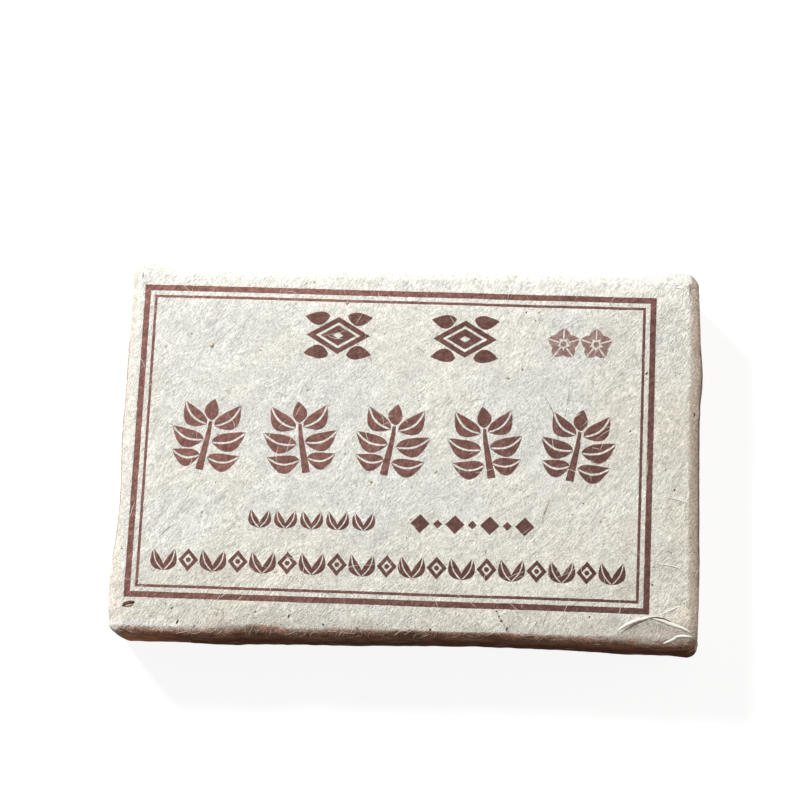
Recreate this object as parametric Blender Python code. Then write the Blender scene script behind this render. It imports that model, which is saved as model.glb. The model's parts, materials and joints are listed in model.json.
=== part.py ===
"""A pressed tea brick in a shut wrapper of handmade paper, lying on its underside.

The brick is one solid. +X runs along its length, +Y to the back and +Z up. The origin
is under the middle of the brick, at the level that it rests on. All values are in metres.
"""

import math

import bmesh
import bpy
from mathutils import Vector, noise

MM = 0.001
UP = Vector((0, 0, 1))

# Driving dimensions of the wrapped brick
LENGTH = 140 * MM
WIDTH = 90 * MM
HEIGHT = 20 * MM
FRONT_EXTRA = 0.5 * MM

# How far the upper edge of the front stands out beyond its foot, and the zone that this moves
FRONT_LEAN = 1.1 * MM
LEAN_ZONE = 8 * MM

# The bent edges: how far a bend reaches along X, Y and Z, and how full it is.
# A fullness of 1 would be a flat bevel and 2 an even round.
EDGE_REACH = Vector((2.6, 2.0, 2.4)) * MM
EDGE_FULLNESS = 1.6
BEND_ANGLES = (10, 27)

# Folds of the wrapper: each layer of paper stands out by one step
PAPER_STEP = 0.3 * MM
STEP_RUN = 0.4 * MM
FLAP_LAYERS = 2
TONGUE_LENGTH = 24 * MM
TONGUE_NARROWING = 8 * MM
SEAM_Y = 9 * MM

# Soft relief of the pressed leaf under the paper
CROWN = 0.45 * MM
LUMP_HEIGHT = 0.35 * MM
LUMP_SIZE = 14 * MM
LUMP_SEED = 3.7

# Spacing of the points that carry the relief
GRID = 4.3 * MM
FINE_GRID = 2.2 * MM

# Bulges (+) and hollows (-) of the four sides: place along the side, reach and depth, in mm
FRONT_WAVES = ((-44, 9, 0.35), (17, 24, -0.55), (58, 14, 0.5))
BACK_WAVES = ((-64, 10, 0.5), (-46, 13, 0.5), (-14, 14, 0.4), (13, 11, 0.6), (36, 15, 0.5), (65, 10, 0.9))
LEFT_WAVES = ((25, 14, 0.3), (3, 10, 0.5), (-35, 12, 1.6))
RIGHT_WAVES = ((25, 15, 0.35), (20, 4.5, 0.5), (-30, 20, 0.25))

# Dents where the top meets the front: place along the edge, reach and depth, in mm
EDGE_DENTS = ((-35, 6.5, 1.1), (-16, 8, 0.4), (2, 9, 0.4), (21, 8, 0.25), (56, 6, 0.3))
DENT_REACH = 4.5 * MM

# The crease at the front right corner: an arched ridge with a sunken patch before it
CREASE_X = 59.4 * MM
CREASE_HALF = 8.8 * MM
CREASE_FOOT_Y = -43.3 * MM
CREASE_RISE = 3.7 * MM
RIDGE_HEIGHT = 0.35 * MM
RIDGE_REACH = 1.1 * MM
PATCH_DEPTH = 0.3 * MM

# Corners of the wrapper that stand out: their places and how far they go, in mm
CORNER_TIPS = (
    ((-66.5, 44, 18), (-0.4, 1.4, 0.4)),
    ((64, 44, 18), (0, 0.5, 0.2)),
    ((69, -44.5, 2), (0.5, -0.7, 0)),
)
TIP_REACH = 4 * MM

FOLD_DEPTH = FLAP_LAYERS * PAPER_STEP
HALF = Vector((LENGTH / 2 - FOLD_DEPTH, WIDTH / 2, (HEIGHT - FOLD_DEPTH) / 2))
MIDDLE_Z = HEIGHT - HALF.z


def clear_scene():
    for old in list(bpy.data.objects):
        bpy.data.objects.remove(old, do_unlink=True)


def hill(place, centre, reach):
    """A smooth hill, 1 high at its centre and near 0 beyond twice its reach."""
    return math.exp(-(((place - centre) / reach) ** 2))


def hills(place, rows):
    """The sum of the hills in a list of places, reaches and depths in millimetres."""
    return sum(depth * MM * hill(place / MM, centre, reach) for centre, reach, depth in rows)


def smooth(value, low, high):
    """0 below low, 1 above high and an even curve between."""
    share = max(0.0, min(1.0, (value - low) / (high - low)))
    return share * share * (3 - 2 * share)


def ramp(distance):
    """0 outside a fold's edge, 1 inside it, and even between over the width of the step."""
    return max(0.0, min(1.0, distance / STEP_RUN))


def cut_faces(block, place, normal, chosen):
    """Cut the chosen faces of the block along a plane."""
    faces = [face for face in block.faces if chosen(face.calc_center_median())]
    edges = {edge for face in faces for edge in face.edges}
    points = {point for face in faces for point in face.verts}
    geometry = [*points, *edges, *faces]
    bmesh.ops.bisect_plane(block, geom=geometry, plane_co=place, plane_no=normal, dist=MM / 1000)


def lines_along(axis, extra=()):
    """Places of the cuts across one axis: even over the flat, with a few more on each bend."""
    reach = EDGE_REACH[axis]
    flat = HALF[axis] - reach
    bend = [flat + reach * math.tan(math.radians(angle)) for angle in BEND_ANGLES]
    count = math.ceil(2 * flat / GRID)
    even = [flat * (2 * i / count - 1) for i in range(count + 1)]
    kept = [line for line in even if all(abs(line - other) > FINE_GRID / 2 for other in extra)]
    return [-line for line in bend] + kept + list(extra) + bend


def fine_lines(start, stop):
    count = round((stop - start) / FINE_GRID)
    return [start + FINE_GRID * i for i in range(count + 1)]


def gridded_block():
    """A sharp block round the origin, cut into a grid that is finer at the crease."""
    block = bmesh.new()
    bmesh.ops.create_cube(block, size=2)
    bmesh.ops.scale(block, vec=HALF, verts=block.verts)
    crease_left = CREASE_X - CREASE_HALF
    crease_right = HALF.x - EDGE_REACH.x - FINE_GRID
    crease_back = CREASE_FOOT_Y + CREASE_RISE + FINE_GRID
    extra_x = fine_lines(crease_left, crease_right)
    extra_y = fine_lines(-HALF.y + EDGE_REACH.y + FINE_GRID / 2, crease_back)
    for axis, extra in enumerate((extra_x, extra_y, ())):
        normal = Vector([float(i == axis) for i in range(3)])
        for line in lines_along(axis, extra):
            cut_faces(block, normal * line, normal, lambda middle: True)
    return block


def inside_flap(y, z):
    """How far a point of an end is inside the flap that folds down from the top."""
    return ((HALF.y - abs(y)) - (HALF.z - z)) / math.sqrt(2)


def inside_under_flap(y, z):
    """How far a point of an end is inside the flap that folds up from below."""
    return ((HALF.y - abs(y)) - (HALF.z + z)) / math.sqrt(2)


def inside_tongue(x, y):
    """How far a point of the underside is inside a flap's tongue, which narrows inwards."""
    from_end = HALF.x - abs(x)
    half_width = HALF.y - 2 * HALF.z - TONGUE_NARROWING * from_end / TONGUE_LENGTH
    return min(half_width - abs(y), TONGUE_LENGTH - from_end)


def paper_layers(point):
    """How many extra layers of paper lie over a point of the sharp block."""
    on_end = HALF.x - abs(point.x) < MM / 1000
    on_underside = point.z + HALF.z < MM / 1000
    layers = 0.0
    if on_end:
        past_bend = min(1.0, (HALF.z - point.z) / EDGE_REACH.z)
        flap = FLAP_LAYERS * past_bend * ramp(inside_flap(point.y, point.z))
        layers = max(layers, flap, ramp(inside_under_flap(point.y, point.z)))
    if on_underside:
        tongue = FLAP_LAYERS * ramp(inside_tongue(point.x, point.y))
        layers = max(layers, tongue, ramp(SEAM_Y - point.y))
    return layers


def cut_end_folds(block, side):
    """Cut one end along both edges of the steps where its flaps overlap."""
    def on_end(middle):
        return HALF.x - side * middle.x < MM / 1000

    def low_on_end(middle):
        return on_end(middle) and middle.z < GRID / 2

    for y_side in (-1, 1):
        for z_side, chosen in ((1, on_end), (-1, low_on_end)):
            corner = Vector((0, y_side * HALF.y, z_side * HALF.z))
            inwards = Vector((0, -y_side, z_side)).normalized()
            for run in (0, STEP_RUN):
                cut_faces(block, corner + inwards * run, inwards, chosen)


def cut_tongue(block, side):
    """Cut the underside along both edges of the step round a flap's tongue."""
    fold_half = HALF.y - 2 * HALF.z

    def near_tongue(middle):
        from_end = HALF.x - side * middle.x
        return middle.z + HALF.z < MM / 1000 and from_end < TONGUE_LENGTH + GRID

    for run in (0, STEP_RUN):
        end_line = Vector((side * (HALF.x - TONGUE_LENGTH + run), 0, 0))
        cut_faces(block, end_line, Vector((1, 0, 0)), near_tongue)
        for y_side in (-1, 1):
            edge_place = Vector((side * HALF.x, y_side * (fold_half - run), 0))
            along = Vector((-side * TONGUE_LENGTH, -y_side * TONGUE_NARROWING, 0))
            cut_faces(block, edge_place, along.cross(UP).normalized(), near_tongue)


def cut_seam(block):
    """Cut the underside along both edges of the step of the long overlap."""
    def between_tongues(middle):
        return middle.z + HALF.z < MM / 1000 and abs(middle.x) < HALF.x - TONGUE_LENGTH + GRID

    for run in (0, STEP_RUN):
        cut_faces(block, Vector((0, SEAM_Y - run, 0)), Vector((0, 1, 0)), between_tongues)


def rounded(point):
    """The place on the block with bent edges for a point of the sharp one, and about the way it faces."""
    flat = HALF - EDGE_REACH
    core = Vector([max(-limit, min(limit, at)) for at, limit in zip(point, flat)])
    away = Vector([(at - inner) / reach for at, inner, reach in zip(point, core, EDGE_REACH)])
    size = sum(abs(share) ** EDGE_FULLNESS for share in away) ** (1 / EDGE_FULLNESS)
    return core + EDGE_REACH * away / size, away.normalized()


def top_relief(x, y):
    """Height of the top above its flat level: a low crown with the lumps of pressed leaf."""
    crown = (1 - (x / HALF.x) ** 2) * (1 - (y / HALF.y) ** 2) - 1
    lump = noise.noise(Vector((x / LUMP_SIZE, y / LUMP_SIZE, LUMP_SEED)))
    return CROWN * crown + LUMP_HEIGHT * lump


def crease_relief(x, y):
    """Height of the arched ridge and its sunken patch at the front right corner."""
    along = (x - CREASE_X) / CREASE_HALF
    if abs(along) >= 1:
        return 0.0
    arch = 1 - along ** 2
    before_ridge = CREASE_FOOT_Y + CREASE_RISE * arch - y
    ridge = RIDGE_HEIGHT * math.sqrt(arch) * hill(before_ridge, 0, RIDGE_REACH)
    sunken = max(0.0, min(1.0, before_ridge / (2 * RIDGE_REACH)))
    return ridge - PATCH_DEPTH * arch * sunken


def side_waves(place, facing):
    """How far the four sides stand out or in at a place."""
    x_rows = RIGHT_WAVES if facing.x > 0 else LEFT_WAVES
    y_rows = BACK_WAVES if facing.y > 0 else FRONT_WAVES
    return Vector((facing.x * hills(place.y, x_rows), facing.y * hills(place.x, y_rows), 0))


def front_lean(place):
    """How far the front stands out beyond its foot at a place: most at its upper edge."""
    near_front = smooth(-place.y, HALF.y - LEAN_ZONE, HALF.y)
    return FRONT_LEAN * near_front * smooth(place.z, -HALF.z, HALF.z / 2)


def corner_tips(place):
    """How far the corners of the wrapper stand out at a place."""
    move = Vector()
    for middle, out in CORNER_TIPS:
        away = (place + UP * MIDDLE_Z - Vector(middle) * MM).length
        move += Vector(out) * MM * hill(away, 0, TIP_REACH)
    return move


def edge_dents(place):
    """How far the edge between top and front is pressed in at a place."""
    from_edge = math.hypot(place.y + HALF.y, HALF.z - place.z)
    depth = hills(place.x, EDGE_DENTS) * hill(from_edge, 0, DENT_REACH)
    return Vector((0, depth, -depth / 2))


def shaped(point):
    """Where a point of the sharp block ends up on the wrapped brick."""
    place, facing = rounded(point)
    moved = place + facing * PAPER_STEP * paper_layers(point)
    moved += side_waves(place, facing) + edge_dents(place) + corner_tips(place)
    moved.y -= front_lean(place)
    if facing.z > 0:
        y = place.y - front_lean(place)
        moved += UP * facing.z * (top_relief(place.x, y) + crease_relief(place.x, y))
    moved.x *= 1 - FRONT_EXTRA / LENGTH * place.y / WIDTH
    return moved + UP * MIDDLE_Z


def centre_on_origin(block):
    """Bring the middle of the brick's outline over the origin."""
    for axis in (0, 1):
        places = [point.co[axis] for point in block.verts]
        middle = (min(places) + max(places)) / 2
        for point in block.verts:
            point.co[axis] -= middle


def paper_material():
    material = bpy.data.materials.new("wrapper paper")
    material.use_nodes = True
    shader = material.node_tree.nodes["Principled BSDF"]
    shader.inputs["Base Color"].default_value = (0.76, 0.74, 0.68, 1)
    shader.inputs["Roughness"].default_value = 0.9
    shader.inputs["Metallic"].default_value = 0.0
    return material


def wrapped_brick(collection):
    block = gridded_block()
    for side in (-1, 1):
        cut_end_folds(block, side)
        cut_tongue(block, side)
    cut_seam(block)
    for point in block.verts:
        point.co = shaped(point.co)
    centre_on_origin(block)
    bmesh.ops.triangulate(block, faces=block.faces)
    bmesh.ops.recalc_face_normals(block, faces=block.faces)
    mesh = bpy.data.meshes.new("wrapped_tea_brick")
    block.to_mesh(mesh)
    block.free()
    mesh.shade_smooth()
    mesh.set_sharp_from_angle(angle=math.radians(40))
    mesh.materials.append(paper_material())
    brick = bpy.data.objects.new("wrapped_tea_brick", mesh)
    collection.objects.link(brick)


def main():
    clear_scene()
    collection = bpy.data.collections.new("pu erh tea brick")
    bpy.context.scene.collection.children.link(collection)
    wrapped_brick(collection)


main()
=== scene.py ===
"""Looks of a pressed tea brick in its paper wrapper: the paper, the print, the fibres and the studio.

All values are in metres, +X along the brick, +Y to the back and +Z up. The brick is laid out round
its sharp block, and at the end everything moves a little so that its middle is over the origin.
"""

import json
import math
import random

import bpy
import numpy as np
from mathutils import Matrix, Vector, geometry, noise
from mathutils.bvhtree import BVHTree

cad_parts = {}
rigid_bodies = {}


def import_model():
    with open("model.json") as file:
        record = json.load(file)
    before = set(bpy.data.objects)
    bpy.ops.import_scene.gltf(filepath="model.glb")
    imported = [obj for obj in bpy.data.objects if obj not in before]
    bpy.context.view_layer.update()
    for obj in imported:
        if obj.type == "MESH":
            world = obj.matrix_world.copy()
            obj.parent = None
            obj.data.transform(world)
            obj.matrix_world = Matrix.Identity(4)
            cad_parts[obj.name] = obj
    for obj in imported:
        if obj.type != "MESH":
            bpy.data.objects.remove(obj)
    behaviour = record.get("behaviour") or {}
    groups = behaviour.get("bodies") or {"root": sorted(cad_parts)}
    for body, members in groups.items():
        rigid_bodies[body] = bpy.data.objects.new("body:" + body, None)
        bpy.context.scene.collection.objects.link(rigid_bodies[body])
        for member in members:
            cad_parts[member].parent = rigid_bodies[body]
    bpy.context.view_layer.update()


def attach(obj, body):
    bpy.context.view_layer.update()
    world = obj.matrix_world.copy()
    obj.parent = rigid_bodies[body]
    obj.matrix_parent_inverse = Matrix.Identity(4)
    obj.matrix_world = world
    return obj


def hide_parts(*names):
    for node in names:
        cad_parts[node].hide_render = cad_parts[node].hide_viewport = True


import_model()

MM = 0.001
NODE = "wrapped_tea_brick"

# Sizes of the wrapped brick, as in its solid
LENGTH = 140 * MM
WIDTH = 90 * MM
HEIGHT = 20 * MM
EDGE_REACH = np.array([2.6, 2.0, 2.4]) * MM
EDGE_FULLNESS = 1.6
FRONT_EXTRA = 0.5 * MM
FRONT_LEAN = 1.1 * MM
LEAN_ZONE = 8 * MM
PAPER_STEP = 0.3 * MM
FOLD_DEPTH = 2 * PAPER_STEP
TONGUE_LENGTH = 24 * MM
TONGUE_NARROWING = 8 * MM
SEAM_Y = 9 * MM
CROWN = 0.45 * MM
LUMP_HEIGHT = 0.35 * MM
LUMP_SIZE = 14 * MM
LUMP_SEED = 3.7
HALF = np.array([LENGTH / 2 - FOLD_DEPTH, WIDTH / 2, (HEIGHT - FOLD_DEPTH) / 2])
MIDDLE_Z = HEIGHT - HALF[2]

# Bulges (+) and hollows (-) of the sides and dents of the front edge: place, reach and depth, in mm
FRONT_WAVES = ((-44, 9, 0.35), (17, 24, -0.55), (58, 14, 0.5))
BACK_WAVES = ((-64, 10, 0.5), (-46, 13, 0.5), (-14, 14, 0.4), (13, 11, 0.6), (36, 15, 0.5), (65, 10, 0.9))
LEFT_WAVES = ((25, 14, 0.3), (3, 10, 0.5), (-35, 12, 1.6))
RIGHT_WAVES = ((25, 15, 0.35), (20, 4.5, 0.5), (-30, 20, 0.25))
EDGE_DENTS = ((-35, 6.5, 1.1), (-16, 8, 0.4), (2, 9, 0.4), (21, 8, 0.25), (56, 6, 0.3))
DENT_REACH = 4.5 * MM

# The crease at the front right corner
CREASE_X = 59.4 * MM
CREASE_HALF = 8.8 * MM
CREASE_FOOT_Y = -43.3 * MM
CREASE_RISE = 3.7 * MM
RIDGE_HEIGHT = 0.2 * MM
RIDGE_REACH = 0.6 * MM
PATCH_REACH = 2.2 * MM
PATCH_DEPTH = 0.3 * MM

# Small creases of the paper: pleats across its bends and puckers all over; widths and lengths in mm
PLEAT_WIDTH = 2.4
PLEAT_LENGTH = 7
PLEAT_HEIGHT = 0.16 * MM
PLEAT_ZONE = 4 * MM
PUCKER_SIZE = 5.5
PUCKER_HEIGHT = 0.08 * MM

# Corners of the wrapper that stand out: their places and how far they go, in mm
CORNER_TIPS = (
    ((-66.5, 44, 18), (-0.4, 1.4, 0.4)),
    ((64, 44, 18), (0, 0.5, 0.2)),
    ((69, -44.5, 2), (0.5, -0.7, 0)),
)
TIP_REACH = 4 * MM

# Spacing of the wrapper's points: over the flats, near the edges and round them
COARSE = 0.74 * MM
FINE = 0.45 * MM
FINE_ZONE = 6 * MM
BEND_ANGLES = np.array([0, 2, 5, 9, 14, 20, 28, 36, 45])
SEAM_RUN = 0.12 * MM
SEAM_WANDER = 0.5 * MM

# The flaps: thickness of a sheet, how far torn edges wander, how far in from the brick's sides the flap
# that is folded down or up starts, how far it rises from its fold, and its numbers of points
SHEET = 0.2 * MM
TEAR_REACH = 0.35 * MM
DOWN_INSET = 0.4 * MM
DOWN_RISE = 0.5 * MM
FOLD_SUNK = 0.1 * MM
UNDER_RISE = FOLD_DEPTH - 0.42 * MM
UP_INSET = 0.5 * MM
UP_RISE = 0.3 * MM
FLAP_COLUMNS = 150
END_ROWS = 34
TONGUE_ROWS = 44

# The print: size of the border's thick line, its line widths, its place and its height above the paper
BORDER = np.array([123.6, 76.6]) * MM
THICK_LINE = 1.45 * MM
THIN_LINE = 0.66 * MM
LINE_GAP = 2.15 * MM
PRINT_PLACE = np.array([-4.04, 1.01]) * MM
PRINT_TURN = math.radians(-0.65)
PRINT_LIFT = 0.025 * MM

# Points of the print: steps along an outline, how far they wander and the spacing of those inside
OUTLINE_STEP = 0.6 * MM
OUTLINE_WANDER = 0.035 * MM
FILL_SPACING = 0.8 * MM

# The camera of the photograph, from a fit to the brick's edges and the border
CAMERA_PLACE = Vector((41.41, -175.33, 710.4)) * MM
CAMERA_TURN = (math.radians(15.3), math.radians(3.11), math.radians(1.97))
CAMERA_LENS = 133.6


# Shape of the brick

def hill(place, centre, reach):
    """A smooth hill, 1 high at its centre and near 0 beyond twice its reach."""
    return np.exp(-(((place - centre) / reach) ** 2))


def hills(place, rows):
    """The sum of the hills in a list of places, reaches and depths in millimetres."""
    return sum(depth * MM * hill(place / MM, centre, reach) for centre, reach, depth in rows)


def smooth(value, low, high):
    """0 below low, 1 above high and an even curve between."""
    share = np.clip((value - low) / (high - low), 0, 1)
    return share * share * (3 - 2 * share)


def noise_at(places, seed=0.0):
    """Smooth noise from about -1 to 1 at each place."""
    shift = Vector((seed, -seed, 2 * seed))
    return np.array([noise.noise(Vector(place) + shift) for place in places])


def noise_along(distances, grain, seed=0.0):
    """Smooth noise from about -1 to 1 along a line."""
    zero = np.zeros(len(distances))
    return noise_at(np.column_stack([distances / grain, zero, zero]), seed)


def rounded(points):
    """Places on the block with bent edges for points of the sharp one, and about the ways they face.

    A fullness of 1 would be a flat bevel and 2 an even round.
    """
    core = np.clip(points, EDGE_REACH - HALF, HALF - EDGE_REACH)
    away = (points - core) / EDGE_REACH
    size = (abs(away) ** EDGE_FULLNESS).sum(axis=1, keepdims=True) ** (1 / EDGE_FULLNESS)
    facing = away / np.linalg.norm(away, axis=1, keepdims=True)
    return core + EDGE_REACH * away / size, facing


def top_relief(x, y):
    """Height of the top above its flat level: a low crown with the lumps of pressed leaf."""
    crown = (1 - (x / HALF[0]) ** 2) * (1 - (y / HALF[1]) ** 2) - 1
    level = np.full_like(x, LUMP_SEED)
    lump = noise_at(np.column_stack([x / LUMP_SIZE, y / LUMP_SIZE, level]))
    return CROWN * crown + LUMP_HEIGHT * lump


def crease_relief(x, y):
    """Height of the arched ridge and its sunken patch at the front right corner."""
    along = np.clip((x - CREASE_X) / CREASE_HALF, -1, 1)
    arch = 1 - along ** 2
    before_ridge = CREASE_FOOT_Y + CREASE_RISE * arch - y
    ridge = RIDGE_HEIGHT * np.sqrt(arch) * hill(before_ridge, 0, RIDGE_REACH)
    sunken = np.clip(before_ridge / PATCH_REACH, 0, 1)
    return ridge - PATCH_DEPTH * arch * sunken


def side_waves(place, facing):
    """How far the four sides stand out or in."""
    x_wave = np.where(facing[:, 0] > 0, hills(place[:, 1], RIGHT_WAVES), hills(place[:, 1], LEFT_WAVES))
    y_wave = np.where(facing[:, 1] > 0, hills(place[:, 0], BACK_WAVES), hills(place[:, 0], FRONT_WAVES))
    return np.column_stack([facing[:, 0] * x_wave, facing[:, 1] * y_wave, np.zeros(len(place))])


def front_lean(place):
    """How far the front stands out beyond its foot: most at its upper edge."""
    near_front = smooth(-place[:, 1], HALF[1] - LEAN_ZONE, HALF[1])
    return FRONT_LEAN * near_front * smooth(place[:, 2], -HALF[2], HALF[2] / 2)


def corner_tips(place):
    """How far the corners of the wrapper stand out."""
    moves = np.zeros_like(place)
    for middle, out in CORNER_TIPS:
        away = np.linalg.norm(place + [0, 0, MIDDLE_Z] - np.array(middle) * MM, axis=1)
        moves += np.array(out) * MM * hill(away, 0, TIP_REACH).reshape(-1, 1)
    return moves


def edge_dents(place):
    """How far the edge between top and front is pressed in."""
    from_edge = np.hypot(place[:, 1] + HALF[1], HALF[2] - place[:, 2])
    depth = hills(place[:, 0], EDGE_DENTS) * hill(from_edge, 0, DENT_REACH)
    return np.column_stack([np.zeros(len(place)), depth, -depth / 2])


def crumples(points, facing):
    """Height of the paper's small creases, which go inwards more than outwards."""
    from_edge = np.sort(HALF - abs(points), axis=1)[:, 1]
    near_edge = hill(from_edge, 0, PLEAT_ZONE)
    across_long = noise_at(points / MM / [PLEAT_WIDTH, PLEAT_LENGTH, PLEAT_LENGTH], 4)
    across_short = noise_at(points / MM / [PLEAT_LENGTH, PLEAT_WIDTH, PLEAT_LENGTH], 9)
    on_ends = HALF[0] - abs(points[:, 0]) < HALF[1] - abs(points[:, 1])
    pleats = np.where(on_ends, across_short, across_long)
    puckers = noise_at(points / MM / PUCKER_SIZE, 17)
    resting = facing[:, 2] < -0.5
    height = PLEAT_HEIGHT * near_edge * (pleats - 0.7) + PUCKER_HEIGHT * (puckers - 0.6)
    return np.where(resting, 0, height)


def shaped(points, lift):
    """Where points of the sharp block end up on the wrapped brick, lifted off it by some paper."""
    place, facing = rounded(points)
    up = np.clip(facing[:, 2], 0, 1)
    x = place[:, 0]
    y = place[:, 1] - front_lean(place)
    moved = place + facing * np.reshape(lift, (-1, 1)) + side_waves(place, facing)
    moved += edge_dents(place) + corner_tips(place)
    moved[:, 1] -= front_lean(place)
    moved[:, 2] += up * (top_relief(x, y) + crease_relief(x, y))
    moved += facing * crumples(points, facing).reshape(-1, 1)
    moved[:, 0] *= 1 - FRONT_EXTRA / LENGTH * place[:, 1] / WIDTH
    moved[:, 2] += MIDDLE_Z
    return moved


def bend_places(reach):
    """Places across a bend from its start to the sharp block's edge."""
    return reach * np.tan(np.radians(BEND_ANGLES))


def lines_along(axis, extra=()):
    """Places of the grid lines across one axis, close together near the edges and round them."""
    half = HALF[axis]
    flat = half - EDGE_REACH[axis]
    bend = flat + bend_places(EDGE_REACH[axis])
    zone = min(FINE_ZONE, flat)
    fine = np.linspace(flat - zone, flat, max(2, round(zone / FINE)), endpoint=False)
    outer = np.concatenate([fine, bend])
    inner = flat - zone
    count = max(1, round(2 * inner / COARSE))
    middle = np.linspace(-inner, inner, count + 1)[1:-1]
    middle = np.array([line for line in middle if all(abs(line - other) > FINE for other in extra)])
    return np.sort(np.concatenate([-outer, middle, extra, outer]))


def grid_faces(index):
    """Faces of four corners between the neighbours in a grid of point numbers."""
    corners = (index[:-1, :-1], index[1:, :-1], index[1:, 1:], index[:-1, 1:])
    return np.stack(corners, axis=-1).reshape(-1, 4)


def block_grid(lines):
    """Points and faces of the surface of a sharp block, on three lists of grid lines."""
    counts = [len(axis_lines) for axis_lines in lines]
    on_surface = np.ones(counts, bool)
    on_surface[1:-1, 1:-1, 1:-1] = False
    index = np.full(counts, -1)
    index[on_surface] = np.arange(on_surface.sum())
    points = np.column_stack([lines[i][where] for i, where in enumerate(on_surface.nonzero())])
    faces = []
    for axis in range(3):
        for side in (0, -1):
            sheet = index.take(side, axis=axis)
            if (side == 0) != (axis == 1):
                sheet = sheet.T
            faces.append(grid_faces(sheet))
    return points, np.concatenate(faces)


# Making pieces

dressing = bpy.data.collections.new("dressing")
bpy.context.scene.collection.children.link(dressing)


def new_piece(name, points, faces, material, smooth_shaded=True):
    """A mesh piece that rides on the brick."""
    mesh = bpy.data.meshes.new(name)
    mesh.from_pydata([tuple(point) for point in points], [], [tuple(face) for face in faces])
    mesh.update()
    if smooth_shaded:
        mesh.shade_smooth()
    mesh.materials.append(material)
    piece = bpy.data.objects.new(name, mesh)
    dressing.objects.link(piece)
    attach(piece, "root")
    return piece


def make_wrapper(material):
    """The paper round the whole brick, with the step of its long overlap on the underside."""
    seam = (SEAM_Y - SEAM_RUN, SEAM_Y)
    lines = [lines_along(0), lines_along(1, seam), lines_along(2)]
    points, faces = block_grid(lines)
    under = points[:, 2] <= MM / 1000 - HALF[2]
    overlap = under * np.clip((SEAM_Y - points[:, 1]) / SEAM_RUN, 0, 1)
    from_side = HALF[1] - abs(points[:, 1])
    overlap *= smooth(from_side, 0, 6 * MM)
    seam_wave = SEAM_WANDER * noise_along(points[:, 0], 9 * MM)
    flat_points = points.copy()
    flat_points[:, 1] += under * hill(points[:, 1], SEAM_Y, 3 * MM) * seam_wave
    places = shaped(flat_points, PAPER_STEP * overlap)
    piece = new_piece("wrapper", places, faces, material)
    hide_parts(NODE)
    middle = (places.min(axis=0) + places.max(axis=0)) / 2
    return piece, Vector((-middle[0], -middle[1], 0))


# Materials

class Graph:
    """Short calls for building the nodes of a material or a world."""

    def __init__(self, owner):
        owner.use_nodes = True
        self.owner = owner
        self.tree = owner.node_tree

    def put(self, socket, value):
        """Link a node's output to a socket, or set the socket to a number or a colour."""
        if isinstance(value, bpy.types.NodeSocket):
            self.tree.links.new(value, socket)
        elif socket.type == "RGBA":
            socket.default_value = (*value, 1)
        else:
            socket.default_value = value

    def node(self, kind, settings=None, **inputs):
        """A new node, with its settings and with its inputs by name, where _ stands for a blank."""
        made = self.tree.nodes.new("ShaderNode" + kind)
        for name, value in (settings or {}).items():
            setattr(made, name, value)
        for name, value in inputs.items():
            self.put(made.inputs[name.replace("_", " ")], value)
        return made

    def math(self, operation, first, second=0.0, clamp=False):
        made = self.node("Math", {"operation": operation, "use_clamp": clamp})
        self.put(made.inputs[0], first)
        self.put(made.inputs[1], second)
        return made.outputs[0]

    def times(self, first, second):
        return self.math("MULTIPLY", first, second)

    def plus(self, first, second, clamp=False):
        return self.math("ADD", first, second, clamp)

    def mix(self, share, first, second):
        made = self.node("Mix", {"data_type": "RGBA"})
        for place, value in ((0, share), (6, first), (7, second)):
            self.put(made.inputs[place], value)
        return made.outputs[2]

    def range(self, value, low, high, to_low=0.0, to_high=1.0):
        """A value carried from one range to another, in a smooth step."""
        ends = {"From_Min": low, "From_Max": high, "To_Min": to_low, "To_Max": to_high}
        return self.node("MapRange", {"interpolation_type": "SMOOTHSTEP"}, Value=value, **ends).outputs[0]

    def brighten(self, colour, factor):
        return self.node("VectorMath", {"operation": "SCALE"}, Vector=colour, Scale=factor).outputs[0]

    def place(self, grain=1, turn=0.0):
        """The place on the brick in millimetres, turned and divided by the size or sizes of a grain."""
        where = self.node("TexCoord").outputs["Object"]
        scale = [size * MM for size in np.full(3, grain)]
        mapping = self.node(
            "Mapping", {"vector_type": "TEXTURE"}, Vector=where, Rotation=(0, 0, turn), Scale=scale
        )
        return mapping.outputs[0]

    def zone(self, axis, *ends):
        """How far a place lies into a zone along an axis, whose two ends are in millimetres."""
        return self.range(self.node("SeparateXYZ", Vector=self.place()).outputs[axis], *ends)

    def facing(self):
        """X, Y and Z of the way the surface faces."""
        return self.node("SeparateXYZ", Vector=self.node("TexCoord").outputs["Normal"]).outputs

    def noise(self, grain, detail=2.0, distortion=0.0, turn=0.0):
        """Smooth noise from 0 to 1 whose blotches are about as large as the grain, in mm."""
        made = self.node("TexNoise", Vector=self.place(grain, turn), Scale=1.0, Detail=detail)
        made.inputs["Distortion"].default_value = distortion
        return made.outputs["Fac"]

    def finish(self, colour, roughness, bump):
        """The material, with its colour, roughness and relief set."""
        inputs = self.tree.nodes["Principled BSDF"].inputs
        self.put(inputs["Base Color"], colour)
        inputs["Roughness"].default_value = roughness
        inputs["Specular IOR Level"].default_value = 0.25
        self.put(inputs["Normal"], bump)
        return self.owner


# The felt of the paper: the slant of its strokes, the sizes of what it is made of, in mm, and their relief
FELT_TURN = math.radians(-33)
FELT_GRAIN = (0.16, 0.30, 0.3)
FELT_STROKES = (0.25, 1.1, 0.6)
GRAIN_SHARE = 0.52
PUCKERS = (3.2, 4.5, 3.5)
MOTTLE = (2.8, 3.8, 3)
FELT_RELIEF = 0.55
PUCKER_RELIEF = 0.85
FIBRE_RELIEF = 0.05
SIDE_STRENGTH = 0.4

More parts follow.
